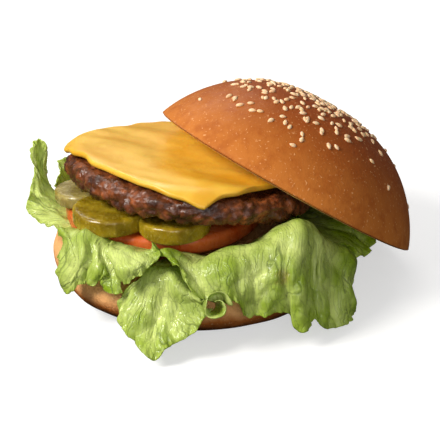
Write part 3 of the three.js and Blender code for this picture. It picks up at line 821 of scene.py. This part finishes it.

# %% [markdown]
# ## Lettuce shapes
# A leaf is a thin wavy sheet. It comes out of the stack along its root, an arc from one angle to another
# at a radius and a height. From there each rib passes through a shoulder, a middle and an edge, given as
# (angle, radius, height). A grid is laid over the ribs by smooth curves, both across and along, because
# a few ribs are easy to place and the curves then drape like a real leaf.

# %% Lettuce ribs
LEAVES = {
    "lettuce_front": (246, 270, 30, 19, [
        ((248, 50, 24), (245, 55.5, 21), (242, 58.5, 15.3)),
        ((250, 51, 25.7), (247, 57, 19.3), (243.5, 62, 9.7)),
        ((252, 51.5, 26.8), (250, 58, 18.5), (248, 65, 7.7)),
        ((254.5, 52, 27.3), (252.5, 58.5, 18.5), (251.5, 68, 6.3)),
        ((256.5, 52.5, 27.8), (255.5, 58.5, 18.2), (257.5, 71.5, 1.7)),
        ((259, 53, 27.6), (258.5, 58.5, 18.2), (261, 68, 4.9)),
        ((261.5, 54, 26.5), (262, 58.5, 18), (266, 65.5, 8)),
        ((264.5, 55, 24), (265.5, 58.5, 18), (270, 63, 10.6)),
        ((268, 56, 21.7), (269.5, 58, 18.6), (272.5, 61, 14.4)),
        ((271, 57, 20.3), (272.5, 58, 17.7), (275, 59, 17)),
    ]),
    "lettuce_left": (208, 240, 32, 19, [
        ((206, 53, 29), (215, 57, 30.4), (216.5, 60, 24)),
        ((212, 53, 31.2), (223, 60, 31), (218, 61.5, 19)),
        ((218, 52.5, 33), (227, 61.5, 27.3), (222, 62, 12.7)),
        ((222, 51.5, 33.8), (229.5, 60.5, 30), (227, 60.5, 17.5)),
        ((226, 51, 33), (231, 57.5, 27), (229, 59, 19.6)),
        ((229.5, 50.5, 32), (234.5, 59, 28), (233, 60, 20.3)),
        ((232.5, 50.5, 31), (235.5, 57, 26.8), (236.5, 58, 23.7)),
        ((236.5, 51, 29.8), (237.5, 57.5, 23.8), (238, 58.5, 19)),
        ((241, 52, 29), (242.5, 57.5, 23.6), (244.5, 58.5, 19.5)),
    ]),
    "lettuce_right": (262, 334, 31, 22.5, [
        ((255, 49.5, 32.9), (257, 52, 33.2), (259, 54.5, 32.8)),
        ((258, 49, 33.3), (260.5, 54, 32.5), (262.5, 57, 30.4)),
        ((262.5, 49, 32), (264, 55, 29.8), (265.5, 58, 26.2)),
        ((268.5, 49.5, 29.7), (269.5, 57, 26.5), (270.5, 60, 21.6)),
        ((274.5, 49, 31.6), (275, 57.5, 26.6), (277, 60, 19.5)),
        ((281, 49.5, 33.4), (280.5, 58, 27.6), (282.5, 59.5, 19)),
        ((289, 50, 34.7), (286, 58.5, 26.4), (286, 59.5, 11.8)),
        ((297, 50.5, 35.7), (291.5, 59.5, 26.7), (291, 61, 12.8)),
        ((304.5, 51, 38.8), (297.5, 61, 27), (297.5, 62.5, 12.8)),
        ((310.5, 52, 40.6), (302.5, 63, 26.3), (301.5, 66, 5.8)),
        ((316.5, 52.5, 38), (309.5, 60.5, 22.7), (307.5, 64.5, 8)),
        ((321.5, 53, 33), (312, 62.5, 24), (311, 67.5, 3.4)),
        ((328, 54, 27), (320.5, 61, 16.8), (317.5, 68, 1.4)),
        ((333, 55.5, 21), (326, 63.5, 15), (324, 66.5, 1.6)),
        ((336, 56, 17.5), (333, 61.5, 11), (330, 64, 5)),
    ]),
    "lettuce_curl": (234, 252, 30, 21.5, [
        ((233.5, 50.5, 31.5), (237.5, 55.5, 30.6), (241.5, 58, 28)),
        ((237, 50.5, 32), (242.5, 59.5, 30.4), (246, 60, 25.2)),
        ((241, 50, 32.8), (247.5, 60.5, 31.6), (248.5, 60, 26.6)),
        ((245.5, 50, 32.5), (251, 59, 33), (251.5, 60, 29)),
        ((249.5, 50, 33), (253, 55.5, 33), (254, 57.5, 31.3)),
        ((253, 49.5, 34.3), (254.5, 52, 33.5), (256.5, 54, 32.4)),
    ]),
    "lettuce_frill": (206, 166, 31, 21.8, [
        ((206, 40, 23.5), (205, 46.5, 25.5), (204.5, 50, 28)),
        ((199, 41, 24), (197, 49, 25), (195, 57.5, 26)),
        ((194, 42, 24), (190, 53, 27), (188, 63, 30)),
        ((189, 43, 24.5), (187, 54, 29), (185.5, 61.5, 35.5)),
        ((185, 44, 26), (184, 56, 33.5), (183, 59.5, 44)),
        ((182, 46, 28), (181.5, 57, 39), (181, 59, 52.5)),
        ((178, 46, 27.5), (178.5, 57, 38), (179, 55, 51.5)),
        ((175, 46, 26), (177, 56, 33.5), (178, 55, 43)),
        ((171, 46, 24), (174, 56, 28), (175, 55.5, 34)),
        ((167, 45, 23), (169, 54, 25), (170, 56, 28)),
    ]),
    "lettuce_shade": (338, 383, 30, 19, [
        ((339, 45.5, 20.2), (340, 54, 19.5), (340, 59, 17)),
        ((346.5, 45.5, 20.5), (347.5, 55, 18), (348, 61.5, 12)),
        ((355.5, 45.5, 20.3), (356.5, 57.5, 17.7), (357, 63, 11)),
        ((365, 45.5, 20), (366, 55.5, 16.8), (366, 63, 9.5)),
        ((375, 45.5, 19.5), (375, 56.5, 15.7), (375, 60.5, 8)),
        ((383, 45, 19.5), (382.5, 55, 16), (382, 58.5, 9)),
    ]),
    "lettuce_back_right": (27, 84, 30, 19.2, [
        ((27, 45, 19.5), (27, 55, 15.5), (27, 59, 7)),
        ((37, 45.5, 19.3), (37, 57, 14.6), (37, 60, 5)),
        ((48, 45.5, 19.8), (48, 56, 15), (48, 61, 5)),
        ((60, 46, 20.8), (60.5, 58, 16.8), (61, 62, 7)),
        ((72, 46, 21.4), (72.5, 56.5, 17.7), (73, 63, 8)),
        ((84, 45.5, 21.4), (84.5, 56, 19), (85, 61, 12)),
    ]),
    "lettuce_back": (89, 133, 30, 19.2, [
        ((89, 45.5, 21), (89.5, 55.5, 19), (90, 60, 13)),
        ((98, 46, 21.4), (98, 58, 17.7), (98, 63, 8)),
        ((107, 46.5, 21.5), (107, 57.5, 16.8), (107, 65, 5)),
        ((116, 46.5, 21.3), (116, 59, 17.2), (116, 64, 7)),
        ((125, 46, 21.2), (125, 56, 18), (125, 62, 10)),
        ((133, 45, 21.2), (132.5, 54.5, 19.5), (132, 59, 14)),
    ]),
    "lettuce_back_left": (138, 162, 30, 19.2, [
        ((138.5, 44.5, 21), (139.5, 54, 21.2), (140, 58, 20)),
        ((144.5, 45, 21.7), (145.5, 54, 24.3), (146, 57.5, 27)),
        ((150.5, 45, 22.4), (151.5, 53.5, 27), (152, 56, 33)),
        ((155.5, 45, 22.8), (156.5, 53.5, 28.3), (157, 55.5, 36)),
        ((159.5, 45, 22.4), (160.5, 53.5, 27), (161, 56, 33)),
        ((162.5, 44.5, 21.7), (163.5, 53.5, 24.3), (164, 57, 27)),
    ]),
}


rib_count = sum(len(leaf[-1]) for leaf in LEAVES.values())
print(len(LEAVES), "leaves on", rib_count, "ribs")

# %% [markdown]
# Between the ribs the surface is a smooth curve through each row of points, and then a smooth curve
# through the rib that those rows give. The two steps are the same function used twice.

# %% Lettuce surface


def blend_points(points, place):
    """A smooth curve through a list of points, where place counts from the first one."""
    index = min(int(place), len(points) - 2)
    share = place - index
    last = len(points) - 1
    near = [points[min(max(index + step, 0), last)] for step in (-1, 0, 1, 2)]
    blended = []
    for a, b, c, d in zip(*near):
        curve = 2 * a - 5 * b + 4 * c - d + share * (3 * (b - c) + d - a)
        blended.append(b + 0.5 * share * (c - a + share * curve))
    return blended


def leaf_rib(leaf, u):
    """The rib at a share u across the leaf, root first."""
    root_from, root_to, root_radius, root_height, ribs = leaf
    rib = [(mix(root_from, root_to, u), root_radius, root_height)]
    for row in zip(*ribs):
        rib.append(blend_points(row, u * (len(ribs) - 1)))
    return rib


def rib_point(rib, v):
    angle, radius, height = blend_points(rib, v * (len(rib) - 1))
    return Vector((radius * math.cos(math.radians(angle)), radius * math.sin(math.radians(angle)), height))


# %% [markdown]
# The rim of a leaf grows faster than its middle, so it buckles into frills: waves that get deeper and
# finer towards the edge. The whole blade is also blistered between its veins, and its outline is torn.

# %% Lettuce detail
LEAF_THICKNESS = 0.35
LEAF_ACROSS = 180
LEAF_ALONG = 64
# Wave length and depth in millimetres, and how fast the wave dies away from the edge
LEAF_FRILLS = [(17, 1.2, 1.3), (8.5, 0.9, 2.6), (4.1, 0.5, 5), (2.4, 0.4, 9)]
LEAF_BLISTERS = [(9, 0.5), (3.2, 0.16)]
LEAF_CRUMPLES = [(15, 2.4), (6.5, 1.0)]  # sharp folds that run any way
LEAF_TEARS = [(6, 0.012), (1.7, 0.015)]


def leaf_relief(place, across, edge):
    """How far a point of a leaf stands off its ribs; across is in millimetres, edge is 1 at the rim."""
    relief = sum(depth * lump(place, size, size) for size, depth in LEAF_BLISTERS)
    for size, depth in LEAF_CRUMPLES:
        relief += depth * smooth(2 * edge) * (0.25 - abs(lump(place, size, -size)))
    for length, depth, fade in LEAF_FRILLS:
        wander = lump(place, 1.6 * length, length)
        crease = 1 - 2 * abs(math.sin(math.pi * across / length + 2.6 * wander)) 
        relief += depth * edge ** fade * crease
    return relief


def leaf_tear(across, seed):
    """The share of a rib that is torn off its end."""
    return sum(depth * (1 + noise.noise(Vector((across / size, seed, size)))) for size, depth in LEAF_TEARS)


def make_leaf(name, leaf, tone, finish):
    edge_ends = [rib_point(leaf_rib(leaf, u), 0.8) for u in (0, 0.25, 0.5, 0.75, 1)]
    width = sum((b - a).length for a, b in zip(edge_ends, edge_ends[1:]))
    length = (rib_point(leaf_rib(leaf, 0.5), 1) - rib_point(leaf_rib(leaf, 0.5), 0)).length
    shape = bmesh.new()
    leaf_map = shape.loops.layers.uv.new("leaf")
    leaf_place = shape.verts.layers.float_color.new("leaf_place")
    bmesh.ops.create_grid(shape, x_segments=LEAF_ACROSS, y_segments=LEAF_ALONG, size=0.5)
    for face in shape.faces:
        for loop in face.loops:
            u, v = loop.vert.co.x + 0.5, loop.vert.co.y + 0.5
            loop[leaf_map].uv = (u * width / 10, v * length / 10)
    ribs = [leaf_rib(leaf, column / LEAF_ACROSS) for column in range(LEAF_ACROSS + 1)]
    spots = []
    for vert in shape.verts:
        u, v = vert.co.x + 0.5, vert.co.y + 0.5
        spots.append((u, v))
        torn = leaf_tear(u * width, len(name)) * v ** 3
        vert.co = rib_point(ribs[round(u * LEAF_ACROSS)], v * (1 - torn))
    shape.normal_update()
    for vert, (u, v) in zip(shape.verts, spots):
        edge = max(v, abs(2 * u - 1) ** 3 * smooth(v * 2.5))
        relief = leaf_relief(vert.co, u * width, edge)
        vert.co += vert.normal * relief
        # Red holds the relief, which the finish turns into painted light on ridges and painted shade in
        # hollows.
        vert[leaf_place] = (0.5 + relief / 5, v, tone, 1)
    piece = put_in_place(shape, name + "_leaf", finish, [name])
    thicken(piece, LEAF_THICKNESS)


print("leaves to make:", ", ".join(LEAVES))

# %% [markdown]
# ## Lettuce finish
# Iceberg lettuce is pale and watery. Light shines through it, so part of the shader is translucent.
# Fine darker veins fan out from the root: stretched cells on the leaf's own map draw them.

# %% Lettuce finish


def leaf_veins(finish, leaf_map):
    """Lines that run along the leaf and branch, from cells stretched along it."""
    stretch = finish.add("ShaderNodeMapping", Vector=leaf_map)
    stretch.inputs["Scale"].default_value = (2.1, 0.5, 1)
    wander = finish.add("ShaderNodeTexNoise", Vector=leaf_map, Scale=1.6, Detail=3.0)
    shift = finish.add("ShaderNodeVectorMath", {"operation": "MULTIPLY_ADD"})
    finish.tree.links.new(wander.outputs["Color"], shift.inputs[0])
    shift.inputs[1].default_value = (0.8, 0.8, 0)
    finish.tree.links.new(stretch.outputs["Vector"], shift.inputs[2])
    main = finish.range(finish.cells(1, "DISTANCE_TO_EDGE", shift.outputs["Vector"], 1.0), 0.045, 0.0)
    fine = finish.range(finish.cells(1, "DISTANCE_TO_EDGE", shift.outputs["Vector"], 3.3), 0.09, 0.0)
    patchy = finish.range(finish.noise(9, 2), 0.4, 0.6)
    return finish.math("MAXIMUM", finish.math("MULTIPLY", main, patchy), finish.math("MULTIPLY", fine, 0.4))


# Two stains on the right leaf: a drop of sauce and a brown bruise, as centre, radius and colour
LEAF_STAINS = [((24, -47, 33), 2.6, (206, 138, 20)), ((28.5, -54, 26.5), 4.5, (150, 134, 62))]


def stain_share(finish, centre, radius):
    """How stained a point is, with a ragged border."""
    away = finish.add("ShaderNodeVectorMath", {"operation": "DISTANCE"})
    finish.tree.links.new(finish.place, away.inputs[0])
    away.inputs[1].default_value = Vector(centre) * MM
    border = finish.math("MULTIPLY", finish.noise(2, 2), radius * MM)
    ragged = finish.math("ADD", away.outputs["Value"], border)
    return finish.range(ragged, 1.4 * radius * MM, 0.8 * radius * MM, 0.0, 0.75)


def lettuce_finish():
    finish = Finish("lettuce_blade")
    vein = leaf_veins(finish, finish.add("ShaderNodeUVMap", {"uv_map": "leaf"}).outputs["UV"])
    place = finish.add("ShaderNodeAttribute", {"attribute_name": "leaf_place"})
    parts = finish.add("ShaderNodeSeparateColor", Color=place.outputs["Color"])
    patches = finish.range(finish.noise(13, 3), 0.3, 0.7, -0.3, 0.3)
    # Painted light and shade: raised parts of the leaf's relief are paler, its hollows darker.
    folds = finish.range(parts.outputs["Red"], 0.2, 0.8, -0.35, 0.35)
    pale = finish.math("ADD", parts.outputs["Blue"], finish.math("ADD", patches, folds))
    blade = finish.blend(pale, screen_colour(140, 168, 16), screen_colour(224, 236, 140))
    rim = finish.range(parts.outputs["Green"], 0.86, 1.0, 0.0, 0.6)
    blade = finish.blend(rim, blade, screen_colour(176, 196, 78))
    for centre, radius, stain in LEAF_STAINS:
        blade = finish.blend(stain_share(finish, centre, radius), blade, screen_colour(*stain))
    colour = finish.blend(finish.math("MULTIPLY", vein, 0.55), blade, screen_colour(84, 106, 50))
    finish.set(Base_Color=colour, Roughness=finish.range(finish.noise(5, 3), 0.35, 0.65, 0.15, 0.38))
    finish.set(Specular_IOR_Level=0.5)
    bumps = finish.math("SUBTRACT", finish.noise(2.0, 4), finish.math("MULTIPLY", vein, 0.5))
    relief = finish.bump(bumps, 0.4)
    glow = finish.add("ShaderNodeBsdfTranslucent", Normal=relief.outputs["Normal"])
    glow_colour = finish.blend(finish.math("MULTIPLY", vein, 0.5), screen_colour(196, 216, 44),
                               screen_colour(90, 120, 30))
    finish.tree.links.new(glow_colour, glow.inputs["Color"])
    both = finish.add("ShaderNodeMixShader", Fac=0.35)
    finish.tree.links.new(finish.shader.outputs["BSDF"], both.inputs[1])
    finish.tree.links.new(glow.outputs["BSDF"], both.inputs[2])
    output = finish.tree.nodes["Material Output"]
    finish.tree.links.new(both.outputs["Shader"], output.inputs["Surface"])
    return finish.material


# How pale each leaf is, from deep green at 0 to nearly white at 1
# lettuce_frill's 1.0 is painted light on a face turned from the key; lettuce_shade's 0.3 is painted shade
# from the crown.
LEAF_TONES = {"lettuce_front": 0.8, "lettuce_left": 0.62, "lettuce_right": 0.66, "lettuce_curl": 0.72,
              "lettuce_frill": 1.0, "lettuce_shade": 0.3, "lettuce_back_left": 0.8}
USUAL_LEAF_TONE = 0.55

lettuce = lettuce_finish()
for leaf_name, leaf_data in LEAVES.items():
    make_leaf(leaf_name, leaf_data, LEAF_TONES.get(leaf_name, USUAL_LEAF_TONE), lettuce)

# %% [markdown]
# ## Rolled edge
# Beside the front leaf a torn edge has rolled up into a small horn with a hole. A straight line of points
# is spun by more than a full turn, and its radius then shrinks with the angle, which makes a spiral.

# %% Rolled edge
ROLL_CENTRE = Vector((6, -60.5, 18.6))
ROLL_AXIS = Vector((0.25, -0.85, 0.35)).normalized()
ROLL_LENGTH = 11
ROLL_RADIUS = 4.4
ROLL_HOLE = 1.6
ROLL_TURN = math.radians(470)
ROLL_ROWS = 14
ROLL_STEPS = 96


def make_roll(finish):
    shape = bmesh.new()
    leaf_place = shape.verts.layers.float_color.new("leaf_place")
    heights = [ROLL_LENGTH * (row / ROLL_ROWS - 0.75) for row in range(ROLL_ROWS + 1)]
    line = [shape.verts.new((ROLL_RADIUS, 0, height)) for height in heights]
    edges = [shape.edges.new(pair) for pair in zip(line, line[1:])]
    bmesh.ops.spin(shape, geom=line + edges, axis=(0, 0, 1), cent=(0, 0, 0), steps=ROLL_STEPS,
                   angle=ROLL_TURN)
    for index, vert in enumerate(shape.verts):
        wound = index // len(heights) / ROLL_STEPS
        flare = 1 + 0.35 * smooth(3 * vert.co.z / ROLL_LENGTH) + 0.25 * lump(vert.co, 4)
        shrink = mix(1, ROLL_HOLE / ROLL_RADIUS, wound) * flare
        vert.co.x *= shrink
        vert.co.y *= shrink
        vert.co.z += 1.5 * lump(vert.co, 5, 2)
        # Red bands round the spiral become painted light and shade, as the relief does on the leaves.
        vert[leaf_place] = (0.5 + 0.3 * math.sin(17 * wound), 0.9, 0.7, 1)
    place = Matrix.Translation(ROLL_CENTRE) @ ROLL_AXIS.to_track_quat("Z", "Y").to_matrix().to_4x4()
    piece = put_in_place(shape, "lettuce_roll", finish, [], place)
    thicken(piece, LEAF_THICKNESS)


make_roll(lettuce)
